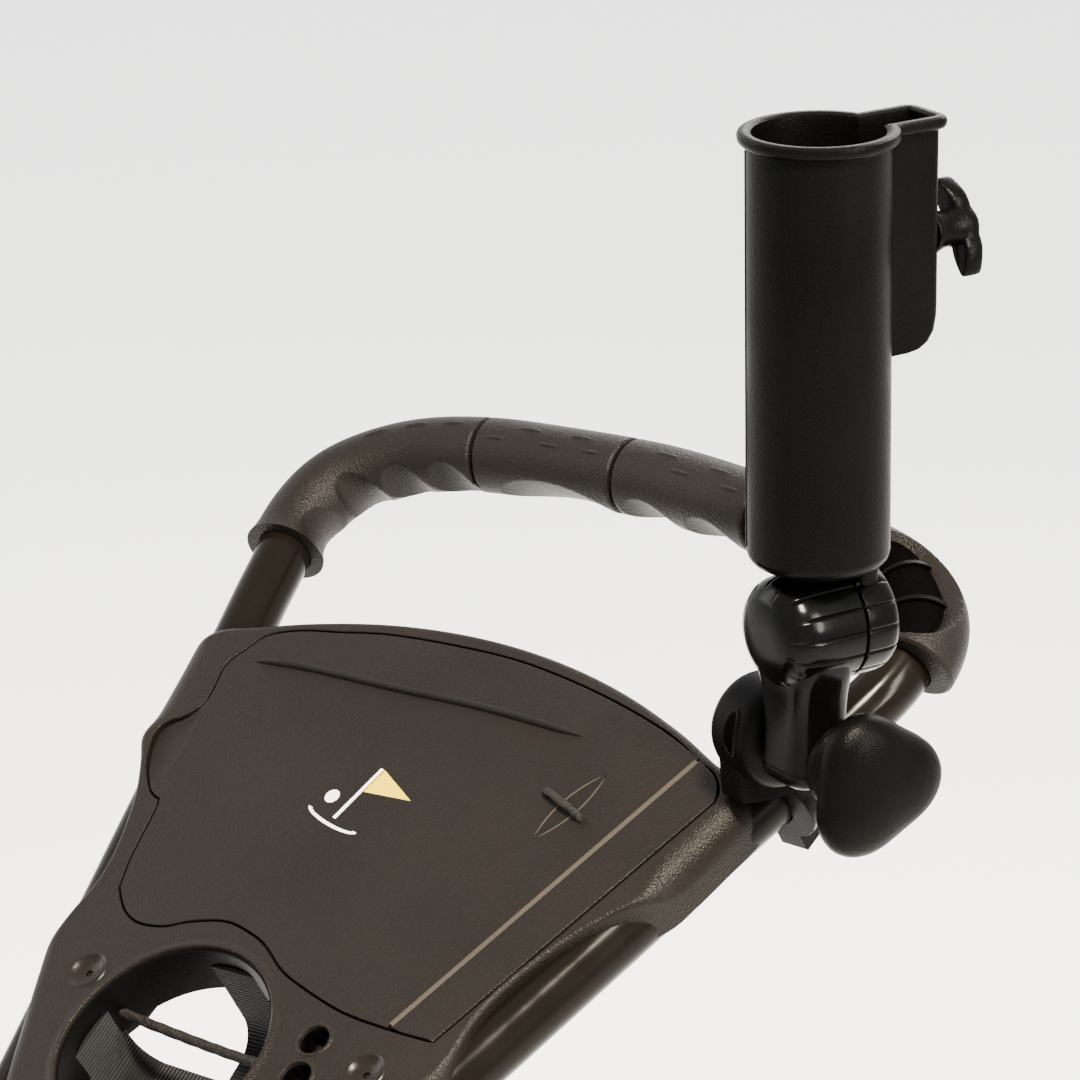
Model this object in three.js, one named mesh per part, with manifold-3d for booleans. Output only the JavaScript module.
// Three-wheeled golf push cart: loop handle, console tray with lid and drinks ring, umbrella holder,
// folding frame with bag supports, and running gear. Millimetres, +Z up. The travel direction is -Y,
// the user walks on the +Y side, and the part stands on the plane z = 0.
import * as THREE from "three";
import { mergeVertices } from "three/addons/utils/BufferGeometryUtils.js";
import Module from "manifold-3d";

const wasm = await Module();
wasm.setup();
const RAD = Math.PI / 180;
const GAP = 0.4; // clearance between pieces that touch

// ---- driving dimensions ----
const TILT = 32 * RAD; // upper frame above the horizontal
const RAKE = 50 * RAD; // main tube above the horizontal
const CONSOLE_HEIGHT = 930; // console origin above the ground
const PIN = { v: -335, h: 12 }; // fold pin in the upper frame's own coordinates
const TUBE = { w: 21, t: 23, h: -16, half: 127, taper: 0.27 }; // upper tube section and lay-out
const GRIP_R = 14.8;
const TRAY = { skin: 3, depth: 20 };
const CUP = { x: -17, v: -164, r: 42.5, wall: 4 };
const LID_T = 2.4;
const HOLDER = { r: 24.5, wall: 2.1, rim: 27, foot: 95, top: 246.5 };
const UMBRELLA = { x: 168, y: 1, pivot: 26, knuckle: 73, turn: -16 * RAD };
const MAIN = { w: 46, t: 58, n: -36, top: -62, end: -700 };
const REAR = { r: 145, width: 38, track: 292, y: 130 };
const FRONT = { r: 115, width: 38, y: -556 };
const AXLE = { r: 6 };

// ---- materials ----
const paint = (colour, roughness, metalness = 0) =>
  new THREE.MeshStandardMaterial({ color: colour, roughness, metalness });
const MOULDED = paint(0x3c3632, 0.55);
const BLACK = paint(0x161514, 0.45);
const GRIP = paint(0x3a332e, 0.7);
const TUBING = paint(0x1b1a18, 0.25, 0.3);
const RUBBER = paint(0x141414, 0.85);
const STEEL = paint(0xa8a8a8, 0.3, 0.9);
const WEBBING = paint(0x0d0d0f, 0.95);
const CORD = paint(0x1c1b1a, 0.9);

// ---- geometry helpers ----
// A closed geometry as a manifold-3d solid.
function solid(geometry) {
  const flat = geometry.index ? geometry.toNonIndexed() : geometry.clone();
  flat.deleteAttribute("normal");
  flat.deleteAttribute("uv");
  const merged = mergeVertices(flat, 1e-3);
  return new wasm.Manifold(
    new wasm.Mesh({
      numProp: 3,
      vertProperties: merged.attributes.position.array,
      triVerts: new Uint32Array(merged.index.array),
    }),
  );
}

function geometryOf(raw) {
  const manifold = raw.simplify(0.01);
  const m = manifold.getMesh();
  const position = new Float32Array(m.numVert * 3);
  for (let i = 0; i < m.numVert; i++) {
    position.set(m.vertProperties.subarray(i * m.numProp, i * m.numProp + 3), i * 3);
  }
  return new THREE.BufferGeometry()
    .setAttribute("position", new THREE.BufferAttribute(position, 3))
    .setIndex(new THREE.BufferAttribute(new Uint32Array(m.triVerts), 1));
}

const join = (...list) => list.map(solid).reduce((a, b) => a.add(b));

// The first geometry, or solid, with the others cut out of it.
function cut(base, ...tools) {
  const start = base instanceof THREE.BufferGeometry ? solid(base) : base;
  return tools.reduce((a, t) => a.subtract(t instanceof THREE.BufferGeometry ? solid(t) : t), start);
}

const vectors = (points) => points.map(([x, y]) => new THREE.Vector2(x, y));
const mirrored = (points) => {
  const other = points.filter(([x]) => x !== 0).map(([x, y]) => [-x, y]);
  return [...points, ...other.reverse()];
};

// A closed outline through hand-placed points, as a smooth spline with the given number of points.
function smoothOutline(points, count) {
  const curve = new THREE.SplineCurve(vectors([...points, points[0]]));
  return curve.getPoints(count).slice(0, -1).map((p) => [p.x, p.y]);
}

function prism(points, low, high) {
  const shape = new THREE.Shape(vectors(points));
  const g = new THREE.ExtrudeGeometry(shape, { depth: high - low, bevelEnabled: false, steps: 1 });
  return g.translate(0, 0, low);
}

function roundedRectangle(w, h, r, arc = 3) {
  const points = [];
  const corners = [[1, 1, 0], [-1, 1, 90], [-1, -1, 180], [1, -1, 270]];
  for (const [sx, sy, start] of corners) {
    for (let i = 0; i <= arc; i++) {
      const a = (start + (90 * i) / arc) * RAD;
      points.push([sx * (w / 2 - r) + r * Math.cos(a), sy * (h / 2 - r) + r * Math.sin(a)]);
    }
  }
  return points;
}

function circle(r, sides, x = 0, y = 0) {
  const turn = (i) => (2 * Math.PI * i) / sides;
  return Array.from({ length: sides }, (_, i) => [x + r * Math.cos(turn(i)), y + r * Math.sin(turn(i))]);
}

const block = (w, d, h, x, y, z) => new THREE.BoxGeometry(w, d, h).translate(x, y, z);
// A round bar along X, Y or Z through a centre.
function bar(axis, r, length, x, y, z, sides = 20, r2 = r) {
  const g = new THREE.CylinderGeometry(r2, r, length, sides);
  if (axis === "x") g.rotateZ(-Math.PI / 2);
  if (axis === "z") g.rotateX(Math.PI / 2);
  return g.translate(x, y, z);
}

// The radius of a faceted bore that a round pin turns in freely.
const running = (r, sides) => (r + 0.1) / Math.cos(Math.PI / sides);

// A round bar between two points.
function strut(from, to, r, sides = 14) {
  const a = new THREE.Vector3(...from);
  const b = new THREE.Vector3(...to);
  const g = new THREE.CylinderGeometry(r, r, a.distanceTo(b), sides);
  const turn = new THREE.Quaternion().setFromUnitVectors(
    new THREE.Vector3(0, 1, 0),
    b.clone().sub(a).normalize(),
  );
  return g.applyQuaternion(turn).translate(...a.add(b).multiplyScalar(0.5).toArray());
}

// A turned profile [[radius, along], ...] about the X axis.
function turned(profile, sides) {
  return new THREE.LatheGeometry(vectors(profile), sides).rotateZ(-Math.PI / 2);
}

// A section swept along a curve that lies in a plane of constant z; width lies in the plane.
function sweep(curve, w, t, steps, sides) {
  const section = circle(1, sides).map(([x, y]) => [x * t * 0.5, y * w * 0.5]);
  return new THREE.ExtrudeGeometry(new THREE.Shape(vectors(section)), {
    steps,
    extrudePath: curve,
    bevelEnabled: false,
  });
}

// ---- scene graph ----
const root = new THREE.Group();
function frame(parent, position, turnX = 0, turnZ = 0) {
  const g = new THREE.Group();
  g.position.set(...position);
  g.rotation.set(turnX, 0, turnZ, "ZYX");
  parent.add(g);
  return g;
}

const pinZ = CONSOLE_HEIGHT + PIN.v * Math.sin(TILT) + PIN.h * Math.cos(TILT);
const consoleY = -PIN.v * Math.cos(TILT) + PIN.h * Math.sin(TILT);
const upper = frame(root, [0, consoleY, CONSOLE_HEIGHT], TILT); // x, v up the console, h off its face
const lower = frame(root, [0, 0, pinZ], RAKE); // x, s up the main tube, n off its upper side
const umbrella = frame(root, [UMBRELLA.x, consoleY + UMBRELLA.y, CONSOLE_HEIGHT], 0, UMBRELLA.turn);

function put(parent, name, shape, material) {
  const geometry = shape instanceof THREE.BufferGeometry ? shape : geometryOf(shape);
  const mesh = new THREE.Mesh(geometry, material);
  mesh.name = name;
  parent.add(mesh);
  return mesh;
}

// ---- handle loop and grips ----
const tubeX = (v) => TUBE.half + TUBE.taper * v;
const TUBE_END = -300;
function handleCurve(extra) {
  const right = [[0, 134], [50, 131], [90, 126], [120, 116], [141, 98], [146, 76], [139, 44], [tubeX(8), 8]];
  for (const v of [-60, -140, -230, TUBE_END - extra]) right.push([tubeX(v), v]);
  const left = right.slice(1).map(([x, v]) => [-x, v]).reverse();
  return new THREE.CatmullRomCurve3(
    [...left, ...right].map(([x, v]) => new THREE.Vector3(x, v, TUBE.h)),
    false,
    "centripetal",
  );
}
const HANDLE_STEPS = 48;
const handle = handleCurve(0);
const handleBore = sweep(handleCurve(6), TUBE.w - 4, TUBE.t - 4, HANDLE_STEPS, 10);
put(upper, "handle_tube", cut(sweep(handle, TUBE.w, TUBE.t, HANDLE_STEPS, 12), handleBore), TUBING);
const tubeRoom = sweep(handle, TUBE.w + 1, TUBE.t + 1, HANDLE_STEPS, 12);

// Four grip mouldings end to end; x positions of their seams across the bar, and the height of their ends.
const GRIP_SEAMS = [-86, -18, 51];
const GRIP_END_V = { left: 58, right: 82 };
function gripStretch(lowSide, highSide) {
  const samples = handle.getSpacedPoints(400);
  const end = (p) => (p.x < 0 ? GRIP_END_V.left : GRIP_END_V.right);
  const kept = samples.filter((p) => p.y > end(p) && p.x > lowSide && p.x < highSide);
  return new THREE.CatmullRomCurve3(kept.filter((_, i) => i % 4 === 0 || i === kept.length - 1));
}
const gripLimits = [-400, ...GRIP_SEAMS, 400];
["grip_left_end", "grip_middle_left", "grip_middle_right", "grip_right_end"].forEach((name, i) => {
  const stretch = gripStretch(gripLimits[i] + GAP, gripLimits[i + 1] - GAP);
  const steps = i % 3 === 0 ? 11 : 5;
  const body = sweep(stretch, 2 * GRIP_R, 2 * GRIP_R, steps, 18);
  put(upper, name, cut(body, tubeRoom), GRIP);
});

// ---- console tray ----
const TRAY_SIDE = [[132, 4], [137, -1], [133, -20], [128, -44], [115, -60], [103, -80], [96, -100], [94.5, -116],
  [96, -134], [92, -152], [82, -174], [72, -196], [64, -212], [46, -223], [20, -227]];
const TOP_ARC = { rise: 36.5, radius: 281 };
const arcTop = (x) => TOP_ARC.rise - (TOP_ARC.radius - Math.sqrt(TOP_ARC.radius ** 2 - x ** 2));
const trayOutline = mirrored([0, 22, 44, 66, 88, 110, 124].map((x) => [x, arcTop(x)]).concat(TRAY_SIDE)).reverse();
// The same outline moved inwards all round.
const inset = (points, amount) =>
  new wasm.CrossSection([points], "NonZero").offset(-amount, "Miter", 2).toPolygons()[0];

const LID_LEFT = [[-83, -112], [-86, -102], [-94, -75], [-101, -70], [-112, -59], [-119, -47], [-118, -39],
  [-110, -30], [-110.5, -8], [-108, 6]];
const LID_TOP = [-96, -60, -20, 20, 60].map((x) => [x, arcTop(x) - 6.5]);
const FOLD = { top: [107, 9], foot: [65.5, -129] }; // living-hinge line of the lid
const LID_FOOT = [[42, -129], [22, -126], [6, -120], [-6, -114.5], [-20, -111.5], [-34, -112], [-48, -118], [-60, -123],
  [-73, -120]];
const lidOutline = [...LID_LEFT, ...LID_TOP, [94, 13.5], FOLD.top, FOLD.foot, ...LID_FOOT].reverse();
const stripOutline = [FOLD.top, [119, 4.5], [124, -2], [104, -62], [85, -129], FOLD.foot].reverse();
const bothOutline = [...LID_LEFT, ...LID_TOP, [94, 13.5], FOLD.top, [119, 4.5], [124, -2], [104, -62], [85, -129],
  FOLD.foot, ...LID_FOOT].reverse();
const TEE = { r: 6.2, ring: 61.5, step: 14.7, first: 19.9, count: 4 };
const teeCentres = Array.from({ length: TEE.count }, (_, i) => {
  const a = (TEE.first - i * TEE.step) * RAD;
  return [CUP.x + TEE.ring * Math.cos(a), CUP.v + TEE.ring * Math.sin(a)];
});
const SCREW = { x: 69, v: -148, dish: 8, shank: 2.4 };
const BOX = smoothOutline([[-84, -96], [-96, -50], [-94, -6], [-40, 20], [40, 20], [86, 4], [60, -112],
  [20, -112], [-24, -100], [-62, -108]], 22).reverse();

function tray() {
  const outer = prism(trayOutline, -TRAY.depth, 0);
  const hollow = prism(inset(trayOutline, TRAY.skin), -TRAY.depth - 1, -5);
  const cupWall = prism(circle(CUP.r + CUP.wall, 32, CUP.x, CUP.v), -TRAY.depth, -1);
  const bosses = [...teeCentres.map(([x, v]) => prism(circle(TEE.r + 1.8, 12, x, v), -TRAY.depth, -1))];
  for (const side of [-1, 1]) {
    bosses.push(prism(circle(SCREW.dish + 2, 14, side * SCREW.x, SCREW.v), -TRAY.depth + 6, -1));
  }
  const cupHole = prism(circle(CUP.r, 32, CUP.x, CUP.v), -TRAY.depth - 1, 1);
  let body = cut(outer, hollow);
  for (const b of [cupWall, ...bosses]) body = body.add(solid(b));
  body = cut(body, cupHole, prism(bothOutline, -LID_T - 0.6, 1), prism(BOX, -30, 1));
  for (const [x, v] of teeCentres) body = cut(body, prism(circle(TEE.r, 12, x, v), -TRAY.depth - 1, 1));
  for (const side of [-1, 1]) {
    body = cut(body, bar("z", 5.5, 4, side * SCREW.x, SCREW.v, -1.9, 16, SCREW.dish));
    body = cut(body, bar("z", SCREW.shank + GAP, 40, side * SCREW.x, SCREW.v, -10, 12));
  }
  return cut(body, tubeRoom);
}
put(upper, "console_tray", tray(), MOULDED);

// The strip beside the living hinge is fixed; the lid swings about the fold line.
put(upper, "lid_hinge_strip", prism(inset(stripOutline, 0.5), -LID_T - 0.2, -0.2), MOULDED);
const lidHole = { v: [-20.1, -26.7], x: [58.5, 80.4] };
function lid() {
  const plate = prism(inset(lidOutline, 0.6), -LID_T - 0.2, -0.2);
  const cordHoles = [0, 1].map((i) => prism(circle(1.7, 8, lidHole.x[i], lidHole.v[i]), -5, 2));
  const notch = bar("z", 20, 8, -118, -54, -5.5, 18, 11);
  return cut(plate, ...cordHoles, notch);
}
put(upper, "console_lid", lid(), MOULDED);

function arched(from, to, rise, r, depth) {
  const a = new THREE.Vector3(...from, 0);
  const b = new THREE.Vector3(...to, 0);
  const q = (t, h) => a.clone().lerp(b, t).setZ(h);
  return new THREE.ExtrudeGeometry(new THREE.Shape(vectors(circle(r, 8))), {
    steps: 14,
    bevelEnabled: false,
    extrudePath: new THREE.CatmullRomCurve3([q(0, -depth), q(0, 0), q(0.12, rise), q(0.5, rise + 0.4), q(0.88, rise),
      q(1, 0), q(1, -depth)], false, "centripetal"),
  });
}
put(upper, "pencil_cord", arched([lidHole.x[0], lidHole.v[0]], [lidHole.x[1], lidHole.v[1]], 2.4, 1.3, 2), CORD);

// Storage box under the lid, hung in the tray between the tubes.
function storageBox() {
  const outside = prism(inset(BOX, GAP), -36, -LID_T - 1);
  return cut(outside, prism(inset(BOX, GAP + 2), -34, 0), tubeRoom);
}
put(upper, "storage_box", storageBox(), BLACK);

// Drinks ring: an elastic across the ring and two webbing loops that carry the bottle.
const CUP_CORD = { v: CUP.v + 12, h: -15, r: 2 };
const cordHalf = Math.sqrt((CUP.r - 1) ** 2 - 14 ** 2);
put(upper, "cup_cord", bar("x", CUP_CORD.r, 2 * cordHalf, CUP.x, CUP_CORD.v, CUP_CORD.h, 10), CORD);
function webbingLoop(reach, drop, width, turn) {
  const outer = [];
  for (let i = 0; i <= 12; i++) {
    const a = (Math.PI * i) / 12;
    outer.push([reach * Math.cos(a), -drop - 26 * Math.sin(a)]);
  }
  const inner = outer.map(([x, y]) => [x * (1 - 1.8 / reach), y + 1.8 * (y < -drop - 1 ? 1 : 0)]).reverse();
  const outline = [[reach, 0], ...outer, [-reach, 0], [-reach + 1.8, 0], ...inner, [reach - 1.8, 0]];
  const seen = outline.filter(([x, y], i) => i === 0 || x !== outline[i - 1][0] || y !== outline[i - 1][1]);
  return prism(seen.reverse(), -width / 2, width / 2)
    .rotateX(Math.PI / 2)
    .rotateZ(turn)
    .translate(CUP.x, CUP.v, -TRAY.depth - GAP);
}
put(upper, "cup_strap_inner", webbingLoop(41, 34, 25, 62 * RAD), WEBBING);
put(upper, "cup_strap_outer", webbingLoop(44, 39, 25, 158 * RAD), WEBBING);

// Saddles clip the tray to the tubes from below, each with one screw from above.
function saddle(side) {
  const outline = [[60, -135], [104, -135], [98, -161], [60, -161]].map(([x, v]) => [side * x, v]);
  const body = prism(side > 0 ? outline.reverse() : outline, -31, -TRAY.depth - GAP);
  const post = bar("z", 6, 6, side * SCREW.x, SCREW.v, -19.2, 12);
  const clear = prism(circle(CUP.r + CUP.wall + 1, 28, CUP.x, CUP.v), -40, 0);
  const bore = bar("z", SCREW.shank + GAP, 40, side * SCREW.x, SCREW.v, -20, 12);
  return cut(join(body, post), tubeRoom, clear, bore, prism(circle(7, 12, side * SCREW.x, SCREW.v), -14 - GAP, 0));
}
for (const [name, side] of [["left", -1], ["right", 1]]) {
  put(upper, `tube_saddle_${name}`, saddle(side), BLACK);
  const screw = join(
    bar("z", SCREW.shank, 24, side * SCREW.x, SCREW.v, -15, 12),
    bar("z", 4.4, 2.4, side * SCREW.x, SCREW.v, -2.6, 14),
  );
  put(upper, `tray_screw_${name}`, screw, STEEL);
}

// ---- umbrella holder: clamp, arm, knuckle and socket; its own axes are level and turned about Z ----
const CLAMP = { v: 25, long: 26, top: 7 };
const seat = { x: tubeX(CLAMP.v) };
function tubeClamp() {
  const shell = bar("y", 17.5, CLAMP.long, seat.x, CLAMP.v, TUBE.h, 20);
  const lug = prism(roundedRectangle(34, CLAMP.long, 6), TUBE.h, CLAMP.top).translate(seat.x, CLAMP.v, 0);
  const pad = block(12, CLAMP.long, 8, seat.x, CLAMP.v, TUBE.h - 20);
  return cut(join(shell, lug, pad), tubeRoom);
}
put(upper, "umbrella_clamp", tubeClamp(), BLACK);
put(upper, "clamp_screw", bar("z", 3.4, 6, seat.x, CLAMP.v, TUBE.h - 27.4, 10), STEEL);

// The stand-off lug above the clamp carries the pivot bolt that runs out to the knob.
const PIVOT = { bolt: 4 };
const KNUCKLE = { pin: 3.6 };
function pivotLug() {
  const cheek = bar("x", 19, 16, -32, 0, UMBRELLA.pivot, 22);
  const neck = bar("x", 11, 9.4, -19.3, 0, UMBRELLA.pivot, 18);
  const foot = block(16, 30, 22, -32, 2, UMBRELLA.pivot - 9);
  return cut(join(cheek, neck, foot), bar("x", running(PIVOT.bolt, 14), 80, -20, 0, UMBRELLA.pivot, 14));
}
// Everything up to the clamp's top face in the upper frame's coordinates is cut off the lug.
const inUmbrella = (g) => {
  upper.updateMatrixWorld(true);
  umbrella.updateMatrixWorld(true);
  const m = umbrella.matrixWorld.clone().invert().multiply(upper.matrixWorld);
  return g.clone().applyMatrix4(m);
};
const clampSpace = inUmbrella(block(80, 60, 60, seat.x, CLAMP.v, CLAMP.top + GAP - 30));
put(umbrella, "pivot_lug", cut(pivotLug(), clampSpace), BLACK);

// The arm carries the near part of the knuckle barrel, and the socket the far part.
const BARREL = { r: 20, near: -22, split: 7, far: 22 };
const ARM = { foot: 18, y: -5.4, half: 11.6 };
function arm() {
  const half = [[0, 62], [-9, 62], [-14, 56], [-13.4, 40], [-13.6, 24], [-11, ARM.foot], [0, ARM.foot]];
  const outline = [...half, ...half.slice(1, -1).reverse().map(([x, z]) => [-x, z])];
  const body = prism(outline, -ARM.half, ARM.half).rotateX(Math.PI / 2).translate(0, ARM.y, 0);
  const near = (BARREL.near + BARREL.split - GAP) / 2;
  const lobe = bar("y", BARREL.r, BARREL.split - GAP - BARREL.near, 0, near, UMBRELLA.knuckle, 24);
  return cut(join(body, lobe), bar("x", running(PIVOT.bolt, 14), 80, 0, 0, UMBRELLA.pivot, 14),
    bar("y", running(KNUCKLE.pin, 14), 80, 0, 0, UMBRELLA.knuckle, 14));
}
put(umbrella, "umbrella_arm", arm(), BLACK);
put(umbrella, "pivot_bolt", join(
  bar("x", PIVOT.bolt, 66, -9, 0, UMBRELLA.pivot, 14),
  bar("x", 7, 4, -42.6, 0, UMBRELLA.pivot, 6),
), STEEL);
put(umbrella, "knuckle_pin", join(
  bar("y", KNUCKLE.pin, 50, 0, 0, UMBRELLA.knuckle, 14),
  bar("y", 7, 3, 0, 24, UMBRELLA.knuckle, 12),
), STEEL);

// Big three-cornered clamping knob, a thick rounded disc on the outer end of the pivot bolt.
function knob() {
  const corner = [...Array(24).keys()].map((i) => {
    const a = (2 * Math.PI * i) / 24;
    const r = 21.5 + 2.5 * Math.cos(3 * a);
    return [r * Math.cos(a), r * Math.sin(a)];
  });
  const shape = new THREE.Shape(vectors(corner));
  const cap = new THREE.ExtrudeGeometry(shape, { depth: 7, bevelThickness: 5, bevelSize: 3, bevelSegments: 2 });
  cap.rotateX(Math.PI / 2).rotateZ(Math.PI / 2).translate(30, 0, UMBRELLA.pivot - 2);
  const neck = bar("x", 12, 13, 20.4, 0, UMBRELLA.pivot, 20, 15);
  return cut(join(cap, neck), bar("x", running(PIVOT.bolt, 14), 40, 4.5, 0, UMBRELLA.pivot, 14));
}
put(umbrella, "umbrella_knob", knob(), BLACK);

// Socket: a round well joined to a narrow slot for the umbrella's shaft, with a thumbscrew on the slot's wall.
const SLOT = { half: 9, reach: 44, foot: 166, screw: 3 };
function keyhole(r, half, reach) {
  const start = Math.asin(half / r);
  const arc = Array.from({ length: 21 }, (_, i) => {
    const a = Math.PI / 2 + start + ((2 * Math.PI - 2 * start) * i) / 20;
    return [r * Math.cos(a), r * Math.sin(a)];
  });
  return [...arc, [half, reach], [-half, reach]];
}
function socket() {
  const { r, wall, rim, foot, top } = HOLDER;
  const round = prism(circle(r, 28), foot, top);
  const wing = prism(roundedRectangle(2 * SLOT.half, SLOT.reach, 2), SLOT.foot, top).translate(0, SLOT.reach / 2, 0);
  const lip = prism(keyhole(rim, SLOT.half + 2.4, SLOT.reach + 2.4), top - 4.5, top);
  const depth = BARREL.far - BARREL.split;
  const knuckle = bar("y", BARREL.r, depth, 0, BARREL.split + depth / 2, UMBRELLA.knuckle, 24);
  const neck = prism(circle(17, 20), UMBRELLA.knuckle + 6, foot + 2);
  const lobeRoom = bar("y", BARREL.r + 1, 40, 0, BARREL.split - 20, UMBRELLA.knuckle, 32);
  const well = prism(circle(r - wall, 28), foot + 3, top + 1);
  const slotRoom = prism(roundedRectangle(2 * SLOT.half - 4.2, SLOT.reach, 1), SLOT.foot + 3, top + 1)
    .translate(0, SLOT.reach / 2 - 2.1, 0);
  const screwHole = bar("y", running(SLOT.screw, 12), 12, 0, SLOT.reach, SLOT_SCREW_Z, 12);
  return cut(join(round, wing, lip, knuckle, neck), well, slotRoom, screwHole, lobeRoom,
    bar("y", running(KNUCKLE.pin, 14), 80, 0, 0, UMBRELLA.knuckle, 14));
}
const SLOT_SCREW_Z = 204;
put(umbrella, "umbrella_socket", socket(), BLACK);
function thumbScrew() {
  const wing = smoothOutline([[-16.5, 3.6], [-9, 5.4], [0, 5], [9, 5.4], [16.5, 3.6], [17.5, 0], [16.5, -3.6], [9, -5.4],
    [0, -5], [-9, -5.4], [-16.5, -3.6], [-17.5, 0]], 24).reverse();
  const head = prism(wing, 0, 7).rotateX(-Math.PI / 2).rotateY(64 * RAD).translate(0, SLOT.reach + 12, SLOT_SCREW_Z);
  const neck = bar("y", 7, 11.4, 0, SLOT.reach + 6.6, SLOT_SCREW_Z, 16, 8);
  const shank = bar("y", SLOT.screw, 20, 0, SLOT.reach - 2, SLOT_SCREW_Z, 12);
  return join(head, neck, shank);
}
put(umbrella, "thumb_screw", thumbScrew(), BLACK);

// ---- fold hinge ----
const HINGE = { half: 24, ear: 11, r: 25, pin: 6 };
function hingeHead() {
  const cross = prism(roundedRectangle(124, 34, 8), TUBE.h - 15.5, TUBE.h + 15.5).translate(0, PIN.v + 49, 0);
  const knuckle = bar("x", HINGE.r, 2 * HINGE.half - 2 * GAP, 0, PIN.v, PIN.h, 24);
  const web = block(2 * HINGE.half - 2 * GAP, 40, 34, 0, PIN.v + 20, PIN.h - 17);
  return cut(join(cross, knuckle, web), tubeRoom, bar("x", running(HINGE.pin, 16), 120, 0, PIN.v, PIN.h, 16));
}
put(upper, "hinge_head", hingeHead(), BLACK);

// A sleeve along the main tube: outer section, its length, and the place of its lower end.
const mainSection = (grow) => roundedRectangle(MAIN.w + grow, MAIN.t + grow, 17 + grow / 2);
const mainRoom = prism(mainSection(2 * GAP), 0, 1400).rotateX(Math.PI / 2).translate(0, 400, MAIN.n);
const sleeve = (grow, top, length) =>
  prism(mainSection(grow), 0, length).rotateX(Math.PI / 2).translate(0, top, MAIN.n);

function hingeBase() {
  const ears = [-1, 1].map((side) => bar("x", HINGE.r, HINGE.ear, side * (HINGE.half + HINGE.ear / 2), 0, 0, 24));
  const arms = [-1, 1].map((side) => block(HINGE.ear, 60, 46, side * (HINGE.half + HINGE.ear / 2), -30, -22));
  const floor = block(2 * HINGE.half + 2, 20, 46, 0, -50, -22);
  const room = sleeve(2 * GAP, MAIN.top, 200);
  const knuckleRoom = bar("x", HINGE.r + 2.5, 2 * HINGE.half, 0, 0, 0, 24);
  const bore = bar("x", running(HINGE.pin, 16), 120, 0, 0, 0, 16);
  return cut(join(...ears, ...arms, sleeve(15, -40, 85), floor), room, knuckleRoom, bore);
}
put(lower, "hinge_base", hingeBase(), BLACK);
const earOut = HINGE.half + HINGE.ear;
put(lower, "fold_pin", join(
  bar("x", HINGE.pin, 2 * earOut + 16, 4, 0, 0, 16),
  bar("x", 10, 5, -(earOut + 2.9), 0, 0, 16),
), STEEL);
const foldKnobShape = circle(1, 30).map(([x, y], i) => [x * (20 + 1.6 * (i % 3 === 0)), y * (20 + 1.6 * (i % 3 === 0))]);
put(lower, "fold_knob", cut(
  prism(foldKnobShape, earOut + GAP, earOut + 20).rotateX(Math.PI / 2).rotateZ(Math.PI / 2),
  bar("x", HINGE.pin + 2 * GAP, 30, earOut - 2, 0, 0, 16),
), BLACK);

// ---- main tube and bag supports, in the main tube's own coordinates ----
const mainLength = MAIN.top - MAIN.end - GAP;
put(lower, "main_tube", cut(
  sleeve(0, MAIN.top - GAP, mainLength),
  sleeve(-5, MAIN.top + 5, mainLength + 20),
), TUBING);

const CRADLE = { r: 104, band: 6, long: 28, spread: 72 * RAD };
function arcBand(r, band, spread, count) {
  const at = (radius, a) => [radius * Math.sin(a), CRADLE.r + 6 - MAIN.n - radius * Math.cos(a)];
  const steps = Array.from({ length: count + 1 }, (_, i) => -spread + (2 * spread * i) / count);
  return [...steps.map((a) => at(r + band, a)), ...steps.reverse().map((a) => at(r, a))];
}
function cradle(place) {
  const centre = MAIN.n;
  const band = arcBand(CRADLE.r, CRADLE.band, CRADLE.spread, 18).map(([x, n]) => [x, n + centre - 0]);
  const bandSolid = prism(band, 0, CRADLE.long).rotateX(Math.PI / 2).translate(0, place, 0);
  const neck = block(40, CRADLE.long, 20, 0, place - CRADLE.long / 2, -3);
  return cut(join(bandSolid, neck, sleeve(13, place, CRADLE.long)), mainRoom);
}
const tip = { x: (CRADLE.r + 3) * Math.sin(CRADLE.spread), n: CRADLE.r + 6 - (CRADLE.r + 3) * Math.cos(CRADLE.spread) };
function bagStrap(place) {
  const half = tip.x + 14;
  const band = block(2 * half, 22, 2, 0, place - CRADLE.long / 2, tip.n + 4);
  const hooks = [-1, 1].map((side) => block(2, 22, 16, side * (half - 1), place - CRADLE.long / 2, tip.n - 3));
  return join(band, ...hooks);
}
function strapBuckle(place) {
  const y = place - CRADLE.long / 2;
  return cut(block(34, 32, 9, 20, y, tip.n + 4), block(60, 22 + 2 * GAP, 2 + 2 * GAP, 20, y, tip.n + 4));
}
for (const [name, place] of [["upper", -150], ["lower", -560]]) {
  put(lower, `${name}_cradle`, cradle(place), BLACK);
  put(lower, `${name}_bag_strap`, bagStrap(place), WEBBING);
  put(lower, `${name}_strap_buckle`, strapBuckle(place), BLACK);
}

// The bag stands on a shelf of two prongs with a cross lip, clamped round the tube's lower end.
function bagShelf() {
  const place = -604;
  const slab = prism(roundedRectangle(150, 150, 24), 0, 8).rotateX(Math.PI / 2).translate(0, place, 68);
  const window = prism(roundedRectangle(70, 60, 14), -5, 15).rotateX(Math.PI / 2).translate(0, place, 96);
  const lip = block(90, 26, 8, 0, place + 10, 139);
  const rib = block(30, 34, 60, 0, place - 20, 22);
  return cut(join(slab, lip, rib, sleeve(14, place, 36)), mainRoom, window);
}
put(lower, "bag_shelf", bagShelf(), BLACK);

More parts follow.
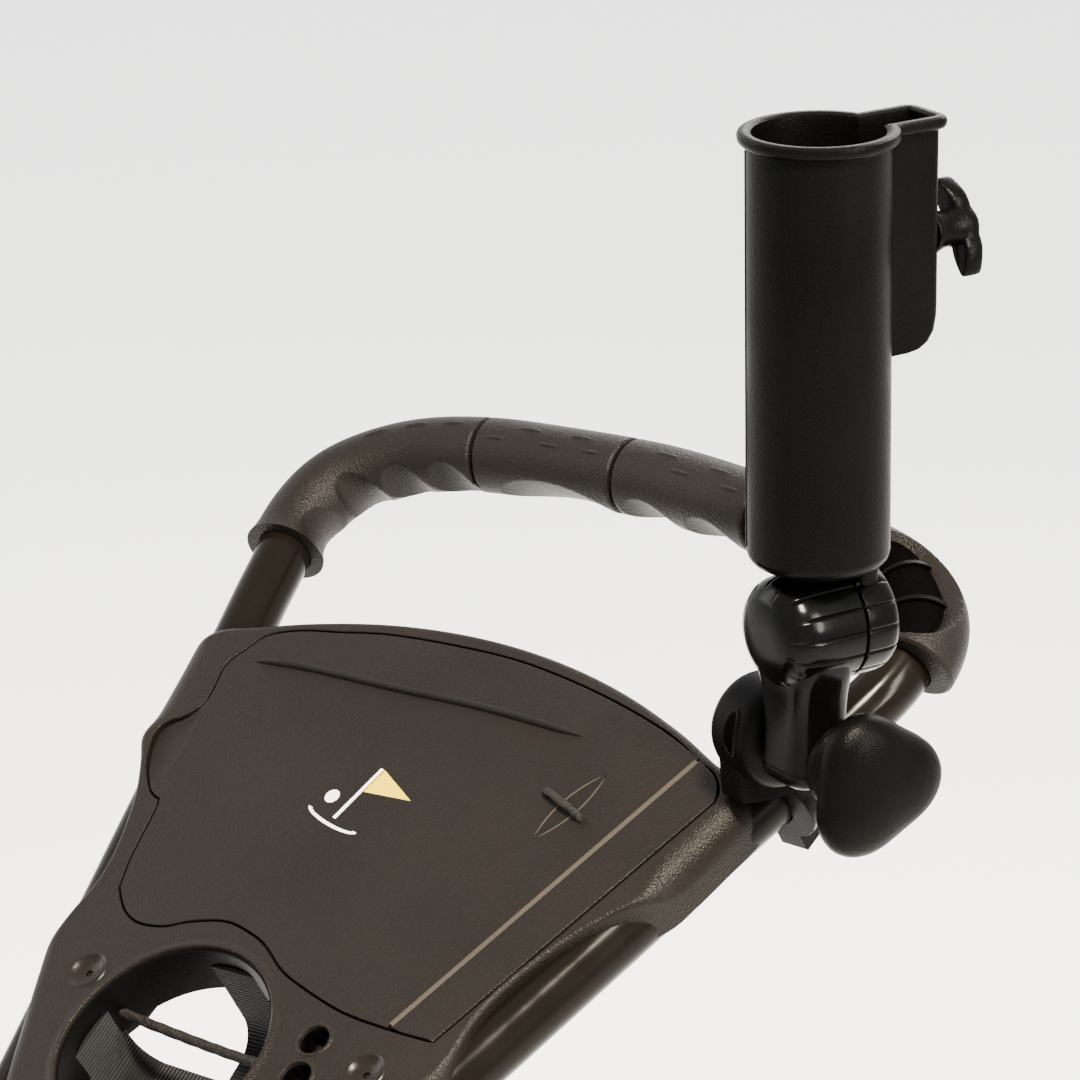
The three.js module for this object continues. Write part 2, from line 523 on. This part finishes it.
// ---- rear legs and wheels, in the part's own axes ----
const onMain = (s, x = 0, n = MAIN.n) => [
  x,
  s * Math.cos(RAKE) - n * Math.sin(RAKE),
  pinZ + s * Math.sin(RAKE) + n * Math.cos(RAKE),
];
const mixed = (a, b, t) => a.map((value, i) => value + (b[i] - value) * t);
const LEG = { r: 11, bracket: -260, foot: 252, high: 165 };
const STAY = { r: 7, bracket: -480, meet: 0.7 };
const mainBlock = (geometry) => geometry.clone().rotateX(RAKE).translate(0, 0, pinZ);
const legTop = (side) => onMain(LEG.bracket, side * 40);
const legFoot = (side) => [side * (LEG.foot - 6), REAR.y, LEG.high];
const stayTop = (side) => onMain(STAY.bracket, side * 40);
const stayFoot = (side) => mixed(legTop(side), legFoot(side), STAY.meet);
const BRAKE = { lug: LEG.foot - 10, y: REAR.y + 30, z: REAR.r + 2, pin: 4 };
const legRoom = (side, grow) => strut(mixed(legTop(side), legFoot(side), 0), legFoot(side), LEG.r + grow);
const stayRoom = (side, grow) => strut(stayTop(side), stayFoot(side), STAY.r + grow);

function tubeBracket(place, top, foot, r, socket) {
  const lugs = [-1, 1].map((side) => strut(onMain(place, side * 16), mixed(top(side), foot(side), socket), r + 5));
  const rooms = [-1, 1].map((side) => strut(top(side), foot(side), r + GAP));
  return cut(join(mainBlock(sleeve(14, place + 25, 50)), ...lugs), mainBlock(mainRoom), ...rooms);
}
put(root, "leg_bracket", tubeBracket(LEG.bracket, legTop, legFoot, LEG.r, 0.12), BLACK);
put(root, "stay_bracket", tubeBracket(STAY.bracket, stayTop, stayFoot, STAY.r, 0.1), BLACK);

// Wheel pieces are turned about X and centred on the origin.
function tyre({ r, width }) {
  const w = width / 2;
  const inner = r - 24;
  return turned([[inner, -w + 5], [r - 12, -w], [r - 4, -w + 4], [r, -w + 11], [r, w - 11], [r - 4, w - 4],
    [r - 12, w], [inner, w - 5], [inner, -w + 5]], 32);
}
function rim({ r, width }) {
  const w = width / 2;
  const outer = r - 24 - GAP;
  const ring = turned([[outer - 9, -w + 6], [outer, -w + 5], [outer, w - 5], [outer - 9, w - 6], [outer - 9, -w + 6]], 32);
  const hub = bar("x", 24, width + 4, 0, 0, 0, 20);
  const spokes = Array.from({ length: 8 }, (_, i) => {
    return block(9, 17, outer - 18, 0, 0, (outer - 18) / 2 + 14).rotateX((i * Math.PI) / 4);
  });
  return cut(join(ring, hub, ...spokes), bar("x", running(AXLE.r, 16), 200, 0, 0, 0, 16));
}
const placed = (shape, x, y, z) => (shape instanceof THREE.BufferGeometry ? shape.translate(x, y, z)
  : shape.translate([x, y, z]));

for (const [name, side] of [["left", -1], ["right", 1]]) {
  const legStart = mixed(legTop(side), legFoot(side), 0.02);
  const legBore = strut(mixed(legTop(side), legFoot(side), -0.1), mixed(legTop(side), legFoot(side), 1.1), LEG.r - 2, 12);
  const leg = cut(strut(legStart, legFoot(side), LEG.r, 16), mainBlock(sleeve(1, 100, 1200)), legBore);
  const stay = strut(mixed(stayTop(side), stayFoot(side), 0.02), mixed(stayTop(side), stayFoot(side), 0.86), STAY.r, 12);
  const stayClear = cut(stay, mainBlock(sleeve(1, 100, 1200)));
  const clip = join(
    strut(mixed(legTop(side), legFoot(side), STAY.meet - 0.04), mixed(legTop(side), legFoot(side), STAY.meet + 0.04),
      LEG.r + 5, 16),
    strut(mixed(stayTop(side), stayFoot(side), 0.78), stayFoot(side), STAY.r + 4, 14),
  );
  const block_ = join(
    strut(mixed(legTop(side), legFoot(side), 0.9), legFoot(side), LEG.r + 5, 16),
    bar("x", 20, 34, side * LEG.foot, REAR.y, REAR.r, 20),
    bar("x", 9, 12, side * BRAKE.lug, BRAKE.y, BRAKE.z, 16),
    block(12, 26, 14, side * BRAKE.lug, REAR.y + 18, BRAKE.z),
  );
  const axle = join(
    bar("x", AXLE.r, 84, side * (LEG.foot + 25), REAR.y, REAR.r, 16),
    bar("x", 10, 4, side * (REAR.track + REAR.width / 2 + 8.4), REAR.y, REAR.r, 16),
  );
  put(root, `leg_${name}`, leg, TUBING);
  put(root, `leg_stay_${name}`, stayClear, TUBING);
  put(root, `leg_clip_${name}`, cut(clip, legRoom(side, GAP), strut(stayTop(side), mixed(stayTop(side), stayFoot(side),
    0.87), STAY.r + GAP)), BLACK);
  put(root, `axle_block_${name}`, cut(block_, strut(legTop(side), mixed(legTop(side), legFoot(side), 1.0), LEG.r + GAP),
    bar("x", running(AXLE.r, 16), 200, side * LEG.foot, REAR.y, REAR.r, 16),
    bar("x", running(BRAKE.pin, 12), 60, side * BRAKE.lug, BRAKE.y, BRAKE.z, 12)), BLACK);
  put(root, `rear_axle_${name}`, axle, STEEL);
  put(root, `rear_tyre_${name}`, placed(tyre(REAR), side * REAR.track, REAR.y, REAR.r), RUBBER);
  put(root, `rear_rim_${name}`, placed(rim(REAR), side * REAR.track, REAR.y, REAR.r), MOULDED);
}

// Parking brake: a foot lever beside the lug of the right-hand axle block.
const pedalX = BRAKE.lug - 13;
put(root, "brake_pin", join(
  bar("x", BRAKE.pin, 28, pedalX + 7, BRAKE.y, BRAKE.z, 12),
  bar("x", 6.5, 3, pedalX - 8, BRAKE.y, BRAKE.z, 12),
), STEEL);
put(root, "brake_pedal", cut(join(
  bar("x", 9, 12, pedalX, BRAKE.y, BRAKE.z, 16),
  block(12, 34, 8, pedalX, BRAKE.y + 18, BRAKE.z),
  prism(roundedRectangle(36, 28, 7), BRAKE.z - 4, BRAKE.z + 3).translate(pedalX - 6, BRAKE.y + 44, 0),
), bar("x", running(BRAKE.pin, 12), 60, pedalX, BRAKE.y, BRAKE.z, 12)), MOULDED);

// ---- front fork and wheel ----
function fork() {
  const s = MAIN.end;
  const crown = mainBlock(sleeve(14, s + 52, 74));
  const arms = [-1, 1].map((side) => strut(onMain(s + 4, side * 22), [side * 33, FRONT.y, FRONT.r], 9, 16));
  const ends = [-1, 1].map((side) => bar("x", 14, 12, side * 34, FRONT.y, FRONT.r, 18));
  const room = mainBlock(sleeve(2 * GAP, s + 400, 400 + GAP));
  return cut(join(crown, ...arms, ...ends), room, bar("x", running(AXLE.r, 16), 200, 0, FRONT.y, FRONT.r, 16),
    bar("x", FRONT.r + 8, 48, 0, FRONT.y, FRONT.r, 40));
}
put(root, "front_fork", fork(), BLACK);
put(root, "front_axle", join(
  bar("x", AXLE.r, 92, 0, FRONT.y, FRONT.r, 16),
  bar("x", 10, 4, 44.5, FRONT.y, FRONT.r, 6),
  bar("x", 10, 4, -44.5, FRONT.y, FRONT.r, 6),
), STEEL);
put(root, "front_tyre", placed(tyre(FRONT), 0, FRONT.y, FRONT.r), RUBBER);
put(root, "front_rim", placed(rim(FRONT), 0, FRONT.y, FRONT.r), MOULDED);

// The origin is the middle of the footprint, on the ground.
root.updateMatrixWorld(true);
const extent = new THREE.Box3().setFromObject(root, true);
root.position.set(0, -(extent.min.y + extent.max.y) / 2, -extent.min.z);

export default root;
